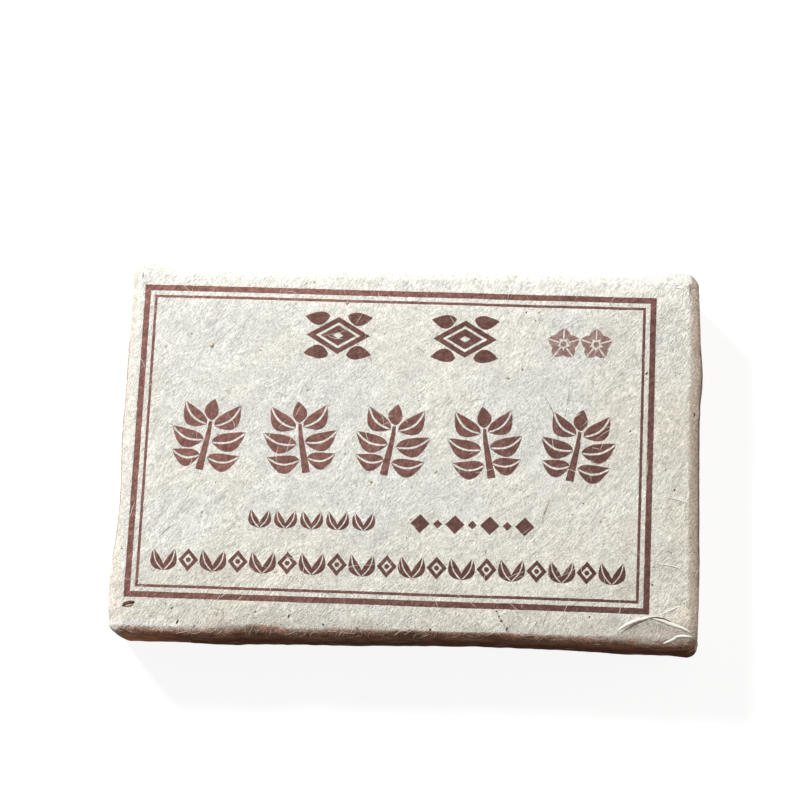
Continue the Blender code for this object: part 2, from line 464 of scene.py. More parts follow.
# Colours of the bare paper, of its stains, of painted shade and painted highlights, and of its specks
COOL_PAPER = (0.765, 0.775, 0.742)
WARM_PAPER = (0.80, 0.792, 0.735)
DARKER_WARMER_PAPER = (0.72, 0.67, 0.565)
# Painted highlight: paper lighter near the back edge, where the top bends up towards the light
BACK_HIGHLIGHT_PAPER = (0.88, 0.88, 0.83)
# Brown of the front face, partly tea stain and partly painted shade: darkest low down, with a lighter
# orange low at the left end as painted light
HIGH_STAIN_AND_SHADE = (0.57, 0.31, 0.215)
LOW_STAIN_AND_SHADE = (0.20, 0.08, 0.043)
LOW_LEFT_STAIN_AND_LIGHT = (0.86, 0.42, 0.225)
# Tan of the right end: partly stain and partly painted shade
RIGHT_STAIN_AND_SHADE = (0.61, 0.515, 0.435)
LEFT_CREAM = (0.80, 0.76, 0.685)
# Grey brown of darker blotches along the front edge and of the painted shade under the crease
DARK_BLOTCH_AND_SHADE = (0.46, 0.40, 0.34)
# Painted highlight: paper lighter just behind the front edge at the left, where it rises to a ridge
LEFT_RIDGE_HIGHLIGHT = (0.90, 0.88, 0.84)
DARK_SPECK = (0.30, 0.22, 0.16)
TAN_SPECK = (0.62, 0.52, 0.38)

# How squarely the paper faces the front or the right where its stain and painted shade begin and where they
# are full
FRONT_FACING = (0.28, 0.7)
RIGHT_FACING = (0.16, 0.42)

# Zones of colour: the axis, two places in mm and, unless they are 0 and 1, the value at each
# The front's brown: where it starts at the left, lighter towards the left end as painted light and darker
# towards the bottom as painted shade
BROWN_START = ("X", -68.6, -66.4)
BROWN_RIGHTWARDS = ("X", -69, -47)
BROWN_UPWARDS = ("Z", 12, 20.8)
LEFT_END = ("X", -67.3, -67.8)
# Painted highlight just behind the front edge at the left
LEFT_RIDGE_HIGHLIGHT_ZONES = (("X", -46, -56, 0.0, 0.7), ("Y", -41.5, -44))
# Painted shade in the sunken patch under the crease
CREASE_SHADE_ZONES = (("X", 48, 56, 0.0, 0.3), ("Y", -39.6, -42))
FRONT_EDGE = ("Y", -38, -46)
DARKER_WARMER_ZONES = (("X", 10, 72, 0.0, 0.6), ("Y", -10, -46, 0.0, 0.6))
# Painted highlight along the back edge
BACK_HIGHLIGHT_ZONE = ("Y", 30, 44)
# Ink lighter to the left and the back: partly thinner ink, partly painted light
INK_FADES_AND_LIGHT = (("X", -60, 62, 1.2, 0.8), ("Y", -48, 0, 0.86, 1.0), ("Y", 32, 38, 1.0, 1.18))

# How rough each surface is
PAPER_ROUGHNESS = 0.88
INK_ROUGHNESS = 0.8
STRAND_ROUGHNESS = 0.75


def felt(graph):
    """Fine grain and slanting strokes of the paper, the same for the paper and for the ink on it."""
    grain = graph.noise(FELT_GRAIN, detail=1.0, turn=FELT_TURN)
    strokes = graph.noise(FELT_STROKES, detail=1.0, turn=FELT_TURN)
    return graph.plus(graph.times(grain, GRAIN_SHARE), graph.times(strokes, 1 - GRAIN_SHARE))


def felt_bump(graph, fine):
    """The paper's relief: felt, soft puckers and fibres, flatter on the sides, where it is drawn tight."""
    puckers = graph.noise(PUCKERS, detail=1.5, turn=FELT_TURN)
    height = graph.plus(graph.times(fine, FELT_RELIEF), graph.times(puckers, PUCKER_RELIEF))
    height = graph.plus(height, graph.times(fibre_lines(graph), FIBRE_RELIEF))
    strength = graph.range(graph.math("ABSOLUTE", graph.facing()["Z"]), 0.1, 0.8, SIDE_STRENGTH, 1.0)
    return graph.node("Bump", Height=height, Strength=strength, Distance=MM).outputs[0]


def fibre_lines(graph):
    """Thin wandering lines, 1 on a line and 0 beside it."""
    lines = None
    for grain, turn in (((5, 11, 6), -0.5), ((7, 4, 6), 0.9)):
        level = graph.noise(grain, detail=1.0, distortion=0.8, turn=turn)
        from_line = graph.math("ABSOLUTE", graph.math("SUBTRACT", level, 0.5))
        line = graph.range(from_line, 0.0, 0.012, 1.0, 0.0)
        lines = line if lines is None else graph.math("MAXIMUM", lines, line)
    return graph.times(lines, graph.range(graph.noise(6, detail=1), 0.5, 0.62))


def specks(graph, spacing, size, share):
    """Small round specks: their mean spacing and radius in mm and the share of places that hold one."""
    cells = graph.node("TexVoronoi", Vector=graph.place(spacing), Scale=1.0)
    dot = graph.range(cells.outputs["Distance"], 0.6 * size / spacing, size / spacing, 1.0, 0.0)
    drawn = graph.node("SeparateColor", Color=cells.outputs["Color"]).outputs["Red"]
    return graph.times(dot, graph.math("LESS_THAN", drawn, share))


def stained_and_shaded(graph, colour):
    """A paper colour with cream on the left, a painted highlight by the front left edge, darker blotches
    with painted shade under the crease, and brown on the front and tan on the right end, each partly stain
    and partly painted shade.
    """
    facing = graph.facing()
    wobble = graph.times(graph.math("SUBTRACT", graph.noise(1.6, detail=3), 0.5), 0.5)
    right = graph.range(graph.plus(facing["X"], wobble), *RIGHT_FACING)
    colour = graph.mix(graph.zone(*LEFT_END), colour, LEFT_CREAM)
    # Tan on the right end: partly stain, partly painted shade
    colour = graph.mix(right, colour, RIGHT_STAIN_AND_SHADE)
    colour = graph.mix(blotched_and_shaded(graph), colour, DARK_BLOTCH_AND_SHADE)
    # Painted highlight just behind the front edge at the left
    colour = graph.mix(graph.times(*(graph.zone(*zone) for zone in LEFT_RIDGE_HIGHLIGHT_ZONES)), colour, LEFT_RIDGE_HIGHLIGHT)
    # Brown on the front: partly stain, partly painted shade, darker to the right and low down, lighter at
    # the left end as painted light
    front = graph.range(graph.plus(graph.times(facing["Y"], -1.0), wobble), *FRONT_FACING)
    front = graph.times(front, graph.zone(*BROWN_START))
    stain_and_shade = graph.mix(graph.zone(*BROWN_RIGHTWARDS), LOW_LEFT_STAIN_AND_LIGHT, LOW_STAIN_AND_SHADE)
    stain_and_shade = graph.mix(graph.zone(*BROWN_UPWARDS), stain_and_shade, HIGH_STAIN_AND_SHADE)
    stain_and_shade = graph.brighten(stain_and_shade, graph.range(graph.noise((3.4, 2, 2), detail=4), 0.3, 0.7, 0.68, 1.3))
    return graph.mix(front, colour, stain_and_shade)


def blotched_and_shaded(graph):
    """Where the top is darker: in blotches along the front edge, and under the crease as painted shade."""
    blotches = graph.range(graph.noise((8, 5, 8), detail=3), 0.35, 0.65, 0.1, 0.6)
    along_front = graph.times(blotches, graph.zone(*FRONT_EDGE))
    # Painted shade in the sunken patch under the crease
    shade_under_crease = graph.times(*(graph.zone(*zone) for zone in CREASE_SHADE_ZONES))
    return graph.plus(along_front, shade_under_crease, clamp=True)


def darker_warmer_patches(graph):
    """Where the paper is darker and warmer: in blotches, more to the right and to the front."""
    share = graph.plus(*(graph.zone(*zone) for zone in DARKER_WARMER_ZONES))
    return graph.times(share, graph.range(graph.noise(14, detail=2), 0.3, 0.7, 0.2, 0.9))


def grained(graph, colour, fine):
    """A colour with the fine grain, the soft mottle and the fibre lines of the paper."""
    mottle = graph.noise(MOTTLE, detail=2, turn=FELT_TURN)
    colour = graph.brighten(colour, graph.range(mottle, 0.3, 0.7, 0.95, 1.05))
    colour = graph.brighten(colour, graph.range(fine, 0.32, 0.68, 0.66, 1.34))
    return graph.brighten(colour, graph.plus(1.0, graph.times(fibre_lines(graph), 0.07)))


def paper_material():
    graph = Graph(bpy.data.materials.new("wrapper paper"))
    fine = felt(graph)
    cloud = graph.range(graph.noise((26, 20, 24), detail=3), 0.35, 0.65)
    colour = graph.mix(cloud, COOL_PAPER, WARM_PAPER)
    colour = graph.mix(darker_warmer_patches(graph), colour, DARKER_WARMER_PAPER)
    # Painted highlight near the back edge
    colour = graph.mix(graph.zone(*BACK_HIGHLIGHT_ZONE), colour, BACK_HIGHLIGHT_PAPER)
    colour = grained(graph, stained_and_shaded(graph, colour), fine)
    colour = graph.mix(specks(graph, spacing=2.4, size=0.16, share=0.09), colour, DARK_SPECK)
    colour = graph.mix(specks(graph, spacing=6.5, size=0.42, share=0.12), colour, TAN_SPECK)
    return graph.finish(colour, PAPER_ROUGHNESS, felt_bump(graph, fine))


def ink_material(name, deep, thin):
    """Print that lies thinner on the high strokes of the felt and is lighter to the left and the back,
    partly as thinner ink and partly as painted light.
    """
    graph = Graph(bpy.data.materials.new(name))
    fine = felt(graph)
    cover = graph.plus(graph.times(fine, 0.7), graph.times(graph.noise(1.4, detail=3), 0.3))
    colour = graph.mix(graph.range(cover, 0.40, 0.72), deep, thin)
    for fade in INK_FADES_AND_LIGHT:
        colour = graph.brighten(colour, graph.zone(*fade))
    return graph.finish(colour, INK_ROUGHNESS, felt_bump(graph, fine))


def strand_bump(graph):
    return graph.node("Bump", Height=graph.noise(0.2), Strength=0.4, Distance=0.05 * MM).outputs[0]


def strand_material(name, dark, light):
    """Fibres and bark: one colour that wanders between two."""
    graph = Graph(bpy.data.materials.new(name))
    colour = graph.mix(graph.noise(1.5, detail=3), dark, light)
    return graph.finish(colour, STRAND_ROUGHNESS, strand_bump(graph))


def paper_strand(name, tone, brightness):
    """A fibre of the paper itself, with about half of the paper's stain and painted shade."""
    graph = Graph(bpy.data.materials.new(name))
    darker = [0.93 * part for part in tone]
    colour = graph.mix(graph.noise(1.5, detail=2), tone, darker)
    colour = graph.mix(0.45, colour, stained_and_shaded(graph, colour))
    return graph.finish(graph.brighten(colour, brightness), STRAND_ROUGHNESS, strand_bump(graph))


# Print

def on_brick(places):
    """Places of the print, in metres from its middle, as places on the brick."""
    turned = np.array(places) @ np.array([
        [math.cos(PRINT_TURN), math.sin(PRINT_TURN)],
        [-math.sin(PRINT_TURN), math.cos(PRINT_TURN)],
    ])
    return turned + PRINT_PLACE


def roughened(loop, rng):
    """A closed outline with points at even steps, each a little off the line as worn type prints."""
    loop = np.array(loop)
    after = np.roll(loop, -1, axis=0)
    points = []
    for start, stop in zip(loop, after):
        length = np.linalg.norm(stop - start)
        count = max(1, round(length / OUTLINE_STEP))
        for i in range(count):
            shift = [rng.uniform(-OUTLINE_WANDER, OUTLINE_WANDER) for _ in range(2)]
            points.append(start + (stop - start) * i / count + np.array(shift))
    return np.array(points)


def inside_loops(places, loops):
    """Which places lie inside an odd number of closed loops."""
    inside = np.zeros(len(places), bool)
    for loop in loops:
        after = np.roll(loop, -1, axis=0)
        for (x1, y1), (x2, y2) in zip(loop, after):
            spans = (y1 > places[:, 1]) != (y2 > places[:, 1])
            if y1 == y2:
                continue
            crossing = x1 + (places[:, 1] - y1) * (x2 - x1) / (y2 - y1)
            inside ^= spans & (places[:, 0] < crossing)
    return inside


def filled(loops):
    """Triangles that fill the area between closed loops."""
    low = np.min([loop.min(axis=0) for loop in loops], axis=0)
    high = np.max([loop.max(axis=0) for loop in loops], axis=0)
    across, along = np.meshgrid(*(np.arange(low[i], high[i], FILL_SPACING) for i in range(2)))
    grid = np.column_stack([across.ravel(), along.ravel()])
    grid = grid[inside_loops(grid, loops)]
    edges = []
    start = 0
    for loop in loops:
        edges += [(start + i, start + (i + 1) % len(loop)) for i in range(len(loop))]
        start += len(loop)
    points = np.concatenate([*loops, grid])
    inputs = [Vector(point / MM) for point in points]
    made, _, triangles, *_ = geometry.delaunay_2d_cdt(inputs, edges, [], 0, 1e-5)
    places = np.array([point[:] for point in made]) * MM
    triangles = np.array(triangles)
    middles = places[triangles].mean(axis=1)
    return places, triangles[inside_loops(middles, loops)]


def laid_on_top(tree, places, lift):
    """Places on the brick's top at a small lift above the paper."""
    down = Vector((0, 0, -1))
    heights = [tree.ray_cast(Vector((x, y, 2 * HEIGHT)), down)[0].z for x, y in places]
    return np.column_stack([places, np.array(heights) + lift])


def print_piece(name, shapes, tree, material, seed):
    """Printed shapes as one thin closed skin that lies on the paper."""
    rng = random.Random(seed)
    points = []
    faces = []
    start = 0
    for loops in shapes:
        places, triangles = filled([roughened(loop, rng) for loop in loops])
        used = np.unique(triangles)
        triangles = np.searchsorted(used, triangles)
        places = on_brick(places[used])
        count = len(places)
        top = laid_on_top(tree, places, PRINT_LIFT)
        bottom = top - [0, 0, 2 * PRINT_LIFT]
        points += [top, bottom]
        faces += [tuple(face + start) for face in triangles]
        faces += [tuple(face[::-1] + start + count) for face in triangles]
        ends = {(a, b) for face in triangles.tolist() for a, b in zip(face, face[1:] + face[:1])}
        rim = sorted(edge for edge in ends if edge[::-1] not in ends)
        faces += [(b + start, a + start, a + start + count, b + start + count) for a, b in rim]
        start += 2 * count
    return new_piece(name, np.concatenate(points), faces, material, smooth_shaded=False)


def box_loop(width, height):
    x = width / 2
    y = height / 2
    return [(-x, -y), (x, -y), (x, y), (-x, y)]


def frame_line(inset, thickness):
    """One line of the border, its middle this far inside the border's outer line."""
    width, height = BORDER - 2 * inset
    outer = box_loop(width + thickness, height + thickness)
    inner = box_loop(width - thickness, height - thickness)
    return [outer, inner]


def at_place(loop, place, turn=0.0):
    """An outline turned and set at a place of the print, given in mm."""
    turned = Matrix.Rotation(turn, 2)
    return [tuple(turned @ Vector(point) + Vector(place) * MM) for point in loop]


def disc(radius, sides=20):
    angles = [2 * math.pi * i / sides for i in range(sides)]
    return [(radius * math.cos(a) * MM, radius * math.sin(a) * MM) for a in angles]


def lozenge(width, height):
    return [(-width / 2 * MM, 0), (0, -height / 2 * MM), (width / 2 * MM, 0), (0, height / 2 * MM)]


def leaf_halves(length, width, vein, bend):
    """A leaf from its foot at the origin to its tip at +X, as two blades beside a bare vein; in mm."""
    halves = []
    for side in (-1, 1):
        outer = []
        inner = []
        for i in range(LEAF_STEPS + 1):
            share = i / LEAF_STEPS
            middle = bend * length * math.sin(math.pi * share)
            reach = 0.57 * width * math.sin(math.pi * share ** 0.8) ** 0.9
            half_vein = min(vein / 2, reach)
            outer.append(((length * share) * MM, (middle + side * reach) * MM))
            inner.append(((length * share) * MM, (middle + side * half_vein) * MM))
        loop = outer + inner[::-1][1:-1]
        halves.append(loop if side < 0 else loop[::-1])
    return halves


def leaf(foot, tip, width, vein, bend):
    """A leaf between two places of the print, in mm, as a list of shapes."""
    along = Vector(tip) - Vector(foot)
    turn = math.atan2(along.y, along.x)
    return [[at_place(half, foot, turn)] for half in leaf_halves(along.length, width, vein, bend)]


def stem(places, width):
    """A stem through a few places of the print, in mm, that tapers to its end."""
    places = [Vector(place) for place in places]
    left = []
    right = []
    for i, place in enumerate(places):
        before = places[max(0, i - 1)]
        after = places[min(len(places) - 1, i + 1)]
        across = (after - before).normalized().orthogonal()
        half = width / 2 * (1 - 0.6 * i / (len(places) - 1))
        left.append(tuple((place + across * half) * MM))
        right.append(tuple((place - across * half) * MM))
    return [[left + right[::-1]]]


def sprig(centre, size, mirror):
    """A tea shoot: a bent stem with a bud at its tip and three pairs of leaves; sizes in mm."""
    unit = size / SPRIG_UNITS
    cx, cy = centre

    def spot(x, y):
        return (cx + mirror * x * unit, cy + y * unit)

    shapes = stem([spot(*place) for place in SPRIG_STEM], 1.9 * unit)
    for foot, tip, width, vein, bend in SPRIG_LEAVES:
        shapes += leaf(spot(*foot), spot(*tip), width * unit, vein, bend * mirror)
    return shapes


def diamond_panel(centre, width, height):
    """A bold lozenge with a bare ring and a bare eye, and a leaf in each corner; sizes in mm."""
    cx, cy = centre
    shapes = [
        [at_place(lozenge(share * width, share * height), centre) for share in (0.94, 0.66)],
        [at_place(lozenge(share * width, share * height), centre) for share in (0.52, 0.16)],
    ]
    for side in (-1, 1):
        for level in (-1, 1):
            tip = (cx + side * 0.5 * width, cy + level * 0.47 * height)
            foot = (cx + side * 0.13 * width, cy + level * 0.49 * height)
            shapes += leaf(foot, tip, 0.30 * height, vein=0.0, bend=-0.1 * side * level)
    return shapes


def rosette(centre, size):
    """A flower of five petals round a dot; sizes in mm."""
    shapes = [[at_place(disc(0.10 * size), centre)]]
    for i in range(5):
        angle = math.pi / 2 + 2 * math.pi * i / 5
        way = Vector((math.cos(angle), math.sin(angle)))
        foot = Vector(centre) + way * 0.14 * size
        tip = Vector(centre) + way * 0.56 * size
        shapes += leaf(foot, tip, 0.40 * size, vein=0.35, bend=0.0)
    return shapes


def leaf_pair(centre, size):
    """Two small leaves on one foot; sizes in mm."""
    cx, cy = centre
    shapes = []
    for side in (-1, 1):
        tip = (cx + side * 0.46 * size, cy + 0.46 * size)
        shapes += leaf((cx, cy - 0.48 * size), tip, 0.42 * size, vein=0.3, bend=-0.12 * side)
    return shapes


# Points along a leaf; a sprig of 17 units: its stem, and the foot, tip, width, vein and bend of its leaves
LEAF_STEPS = 12
SPRIG_UNITS = 17
SPRIG_STEM = ((-1.8, -8.6), (-0.9, -4), (-0.1, 0), (0.3, 3.4))
SPRIG_LEAVES = (
    ((0.4, 3.6), (1.0, 8.9), 3.0, 0.0, 0.05),
    ((-0.6, 2.6), (-6.0, 8.2), 3.9, 0.5, 0.16),
    ((1.2, 2.2), (7.4, 7.4), 4.0, 0.5, -0.16),
    ((-1.1, -1.2), (-8.8, 2.0), 4.1, 0.5, 0.16),
    ((0.8, -1.8), (9.0, 0.8), 4.2, 0.5, -0.14),
    ((-1.8, -5.0), (-8.6, -3.8), 3.8, 0.5, 0.18),
    ((-0.1, -5.6), (7.8, -5.2), 4.0, 0.5, -0.18),
)

# Rows of the ornament: places and sizes in mm from the print's middle
PANEL_PLACES = ((-14.5, 27.3), (16.4, 27.3))
PANEL_SIZE = (16.5, 10)
ROSETTE_PLACES = ((40.3, 26.8), (48.2, 26.8))
ROSETTE_SIZE = 7.2
SPRIG_X = (-44.6, -22.3, 0, 22.3, 44.6)
SPRIG_Y = 1.4
SPRIG_SIZE = 17.2
MIDDLE_ROW_Y = -18.9
LEFT_GROUP_X = np.linspace(-31, -6, 5)
RIGHT_GROUP_X = np.linspace(7.5, 32.5, 7)
LOW_ROW_Y = -29.6
LOW_ROW_X = np.linspace(-53.5, 53.5, 19)


def rows():
    """The bold top row and the two small rows."""
    shapes = []
    for place in PANEL_PLACES:
        shapes += diamond_panel(place, *PANEL_SIZE)
    for x in LEFT_GROUP_X:
        shapes += leaf_pair((x, MIDDLE_ROW_Y), 4.8)
    for i, x in enumerate(RIGHT_GROUP_X):
        size = (4.6, 4.6) if i % 2 == 0 else (2.2, 2.2)
        shapes.append([at_place(lozenge(*size), (x, MIDDLE_ROW_Y))])
    for i, x in enumerate(LOW_ROW_X):
        if i % 2 == 0:
            shapes += leaf_pair((x, LOW_ROW_Y), 5.6)
        else:
            shapes.append([at_place(lozenge(*size), (x, LOW_ROW_Y)) for size in ((4.8, 5.6), (2.5, 3.0))])
            shapes.append([at_place(disc(0.6, 12), (x, LOW_ROW_Y))])
    return shapes


def make_print(tree):
    ink = ink_material("brown ink", (0.15, 0.065, 0.054), (0.40, 0.21, 0.185))
    dark = ink_material("dark brown ink", (0.115, 0.05, 0.04), (0.31, 0.16, 0.14))
    pale = ink_material("thin brown ink", (0.31, 0.17, 0.15), (0.65, 0.48, 0.44))
    border = [frame_line(0, THICK_LINE), frame_line(LINE_GAP, THIN_LINE)]
    sprigs = [sprig((x, SPRIG_Y), SPRIG_SIZE, (-1) ** i) for i, x in enumerate(SPRIG_X)]
    rosettes = [rosette(place, ROSETTE_SIZE) for place in ROSETTE_PLACES]
    print_piece("print_border", border, tree, ink, 11)
    print_piece("print_sprigs", sum(sprigs, []), tree, ink, 12)
    print_piece("print_rows", rows(), tree, dark, 13)
    print_piece("print_rosettes", sum(rosettes, []), tree, pale, 14)


# Folded sheets at the ends

def closed_sheet(outer, inner):
    """Points and faces of a closed sheet between two equal grids of places, outside and inside."""
    points = np.concatenate([outer.reshape(-1, 3), inner.reshape(-1, 3)])
    index = np.arange(len(points) // 2).reshape(outer.shape[:2])
    quads = grid_faces(index)
    rim = np.concatenate([index[0, :-1], index[:-1, -1], index[-1, :0:-1], index[:0:-1, 0]])
    after = np.roll(rim, -1)
    walls = np.column_stack([rim, after, after + index.size, rim + index.size])
    return points, np.concatenate([quads, quads[:, ::-1] + index.size, walls])


def end_path(distances, side, upwards=False):
    """Places down an end of the sharp block and on under it, or from under it up the end."""
    height = 2 * HALF[2]
    places = np.zeros((len(distances), 3))
    down = distances if not upwards else height - distances
    places[:, 0] = side * (HALF[0] - np.clip(down - height, 0, None))
    places[:, 2] = HALF[2] - np.clip(down, 0, height)
    return places


def torn(distances, seed):
    """How far a hand-torn edge wanders, along the edge."""
    coarse = noise_along(distances, 3.5 * MM, seed)
    return TEAR_REACH * (coarse + 0.4 * noise_along(distances, 0.9 * MM, seed + 5))


def add_flap(name, side, distances, half_widths, lift, seed, material, upwards=False):
    """A flap whose half width and lift follow the distance down the end, or up it."""
    path = end_path(distances, side, upwards)
    across = np.linspace(-1, 1, FLAP_COLUMNS)
    left = half_widths + torn(distances, seed)
    right = half_widths + torn(distances, seed + 2)
    sharp = np.repeat(path[:, None, :], FLAP_COLUMNS, axis=1)
    widths = np.where(across < 0, left[:, None], right[:, None])
    sharp[:, :, 1] = across * np.minimum(widths, HALF[1])
    edge = (1 - abs(across))[None, :] * half_widths[:, None]
    settled = smooth(edge, 0, 2.5 * MM)
    lifts = lift[:, None] * (0.72 + 0.28 * settled)
    flat = sharp.reshape(-1, 3)
    outer = shaped(flat, lifts.ravel()).reshape(sharp.shape)
    inner = shaped(flat, (lifts - SHEET).ravel()).reshape(sharp.shape)
    points, faces = closed_sheet(outer, inner)
    if (side < 0) != upwards:
        faces = faces[:, ::-1]
    new_piece(name, points, faces, material)


def make_flaps(material):
    """At each end a flap folded up from below and, over it, one folded down and under the brick."""
    height = 2 * HALF[2]
    bend_down = EDGE_REACH[2] - bend_places(EDGE_REACH[2])[::-1]
    bend_under = EDGE_REACH[0] - bend_places(EDGE_REACH[0])[::-1]
    middle = np.linspace(EDGE_REACH[2], height - EDGE_REACH[2], END_ROWS)[1:-1]
    inwards = np.linspace(EDGE_REACH[0], TONGUE_LENGTH, TONGUE_ROWS)[1:]
    under = height + np.concatenate([bend_under[1:], inwards])
    distances = np.concatenate([middle, height - bend_down[::-1], under])
    end_part = np.minimum(distances, height)
    tongue_part = np.clip(distances - height, 0, None)
    half_widths = HALF[1] - DOWN_INSET - end_part - TONGUE_NARROWING * tongue_part / TONGUE_LENGTH
    lift = -FOLD_SUNK + DOWN_RISE * smooth(distances, EDGE_REACH[2], 9 * MM)
    lift += UNDER_RISE * smooth(distances, height - 4 * MM, height)
    rise = np.concatenate([bend_down, middle])
    up_half = HALF[1] - UP_INSET - rise
    up_lift = UP_RISE * smooth(rise, -0.5 * MM, 3 * MM)
    for side, name in ((-1, "left"), (1, "right")):
        seed = 30 + 10 * side
        add_flap(f"flap_down_{name}", side, distances, half_widths, lift, seed, material)
        add_flap(f"flap_up_{name}", side, rise, up_half, up_lift, seed + 40, material, upwards=True)


# Fibres and flecks

def paper_tree(wrapper):
    """A search tree of the wrapper's surface."""
    mesh = wrapper.data
    places = np.empty(len(mesh.vertices) * 3)
    mesh.vertices.foreach_get("co", places)
    faces = [polygon.vertices[:] for polygon in mesh.polygons]
    return BVHTree.FromPolygons([Vector(place) for place in places.reshape(-1, 3)], faces)


def walk(tree, start, heading, length, curl, rng, step=0.55 * MM):
    """Places, outward ways and headings along a wandering line on the paper."""
    place, facing, *_ = tree.find_nearest(start)
    line = []
    turn = 0.0
    for _ in range(max(3, round(length / step)) + 1):
        heading = (heading - facing * heading.dot(facing)).normalized()
        line.append((place, facing, heading))
        turn = 0.75 * turn + rng.gauss(0, curl)
        heading = Matrix.Rotation(turn, 3, facing) @ heading
        place, facing, *_ = tree.find_nearest(place + heading * step)
    return line


class Strands:
    """Many thin strands gathered into one mesh."""

    def __init__(self):
        self.points = []
        self.faces = []

    def add(self, line, radius, raised=0.35, flatness=1.0):
        """A strand of four sides that thins to both ends and is partly sunk in the paper."""
        start = len(self.points)
        last = len(line) - 1
        for i, (place, facing, heading) in enumerate(line):
            across = heading.cross(facing).normalized()
            here = radius * (0.25 + 0.75 * math.sin(math.pi * (i + 0.5) / (last + 1)))
            middle = place + facing * radius * raised * flatness
            for way, reach in ((across, 1), (facing, 0.8 * flatness), (-across, 1), (-facing, 1.4)):
                self.points.append(middle + way * here * reach)
        for i in range(last):
            for j in range(4):
                a = start + 4 * i + j
                b = start + 4 * i + (j + 1) % 4
                self.faces.append((a, b, b + 4, a + 4))
        end = start + 4 * last
        self.faces += [(start + 3, start + 2, start + 1, start), (end, end + 1, end + 2, end + 3)]

    def add_chip(self, tree, place, size, angle, thickness, rng, sides=9):
        """A flat flake of bark that lies on the paper, thickest in its middle."""
        length, width = size
        middle, facing, *_ = tree.find_nearest(place)
        along = flat_heading(angle)
        along = (along - facing * along.dot(facing)).normalized()
        across = facing.cross(along)
        start = len(self.points)
        for i in range(sides):
            way = 2 * math.pi * i / sides
            reach = rng.uniform(0.8, 1.1)
            out = along * math.cos(way) * length / 2 + across * math.sin(way) * width / 2
            rim = tree.find_nearest(middle + out * reach)[0]
            self.points.append(rim + facing * 0.1 * thickness)
        self.points += [middle + facing * thickness, middle - facing * thickness]
        top = start + sides
        for i in range(sides):
            after = start + (i + 1) % sides
            self.faces += [(start + i, after, top), (after, start + i, top + 1)]

    def piece(self, name, material):
        return new_piece(name, self.points, self.faces, material)


def spot_on_paper(rng):
    """A place drawn evenly over the outside of the brick."""
    width, depth, height = 2 * HALF
    areas = (2 * width * depth, 2 * width * height, 2 * depth * height)
    axis = rng.choices((2, 1, 0), weights=areas)[0]
    place = Vector([rng.uniform(-half, half) for half in HALF])
    place[axis] = math.copysign(HALF[axis], rng.random() - 0.5)
    return place + Vector((0, 0, MIDDLE_Z))


def flat_heading(angle):
    return Vector((math.cos(angle), math.sin(angle), 0.3 * math.sin(2 * angle)))


# How many fibres and flecks lie at random, and how far apart the points of a placed line are
PALE_FIBRES = 900
EDGE_FIBRES = 140
DARK_FIBRES = 46
DARK_CHIPS = 190
TAN_CHIPS = 45
LINE_STEP = 0.45 * MM

# Fibres and sharp folds that stand out in the photograph: three places on the top and the radius, in mm
CLEAR_PALE_LINES = (
    (((61.3, -10.2), (64.5, -10.8), (67.5, -11.8)), 0.16),
    (((58.9, -26.6), (63.4, -27.0), (65.8, -28.1)), 0.15),
    (((-10.0, 20.9), (-12.3, 15.6), (-15.2, 9.7)), 0.10),
    (((37.9, -3.8), (40.6, -5.2), (39.9, -8.5)), 0.10),
)
# Dark fibres, and dark lines painted as the shadow under the crease's ridge and beside the fold at the back
# right corner
CLEAR_DARK_LINES_AND_SHADOWS = (
    (((32.3, 13.9), (34.6, 9.4), (35.6, 3.5)), 0.09),
    (((21.9, -38.6), (23.1, -40.9), (24.7, -43.1)), 0.06),
    # Dark lines under the crease's ridge: painted shadow
    (((57.6, -39.6), (60.2, -39.3), (63.0, -40.3)), 0.16),
    (((51.6, -43.4), (54.2, -41.5), (57.6, -40.0)), 0.13),
    (((-59.1, -22.4), (-57.4, -20.5), (-55.4, -19.1)), 0.07),
    (((35.6, 3.5), (37.4, 9.6), (38.2, 17.5)), 0.05),
    # Dark line beside the fold at the back right corner: painted shadow
    (((66.9, 43.6), (67.1, 41.8), (67.0, 40.0)), 0.11),
)

# Sharp folds, drawn as raised strands painted pale as the highlight on their ridges: three places and the
# half width, in mm
HIGHLIT_FOLDS = (
    (((50.6, -42.9), (54.4, -40.5), (60.4, -39.0)), 0.46),
    (((58.6, -39.7), (63.3, -41.2), (68.6, -42.9)), 0.5),
    (((59.8, -39.0), (62.4, -37.9), (65.4, -36.4)), 0.24),
    (((61.5, -45.5, 18.6), (63.1, -44.9, 19.0), (65.0, -43.8, 19.2)), 0.42),
    (((63.8, -44.1, 19.2), (66.0, -43.7, 19.3), (68.4, -43.9, 19.3)), 0.42),
    (((62.7, 43.0), (63.7, 42.8), (65.2, 43.4)), 0.20),
    (((-68.3, -44.6, 19), (-68.6, -45.2, 14), (-67.4, -46, 6)), 0.25),
)

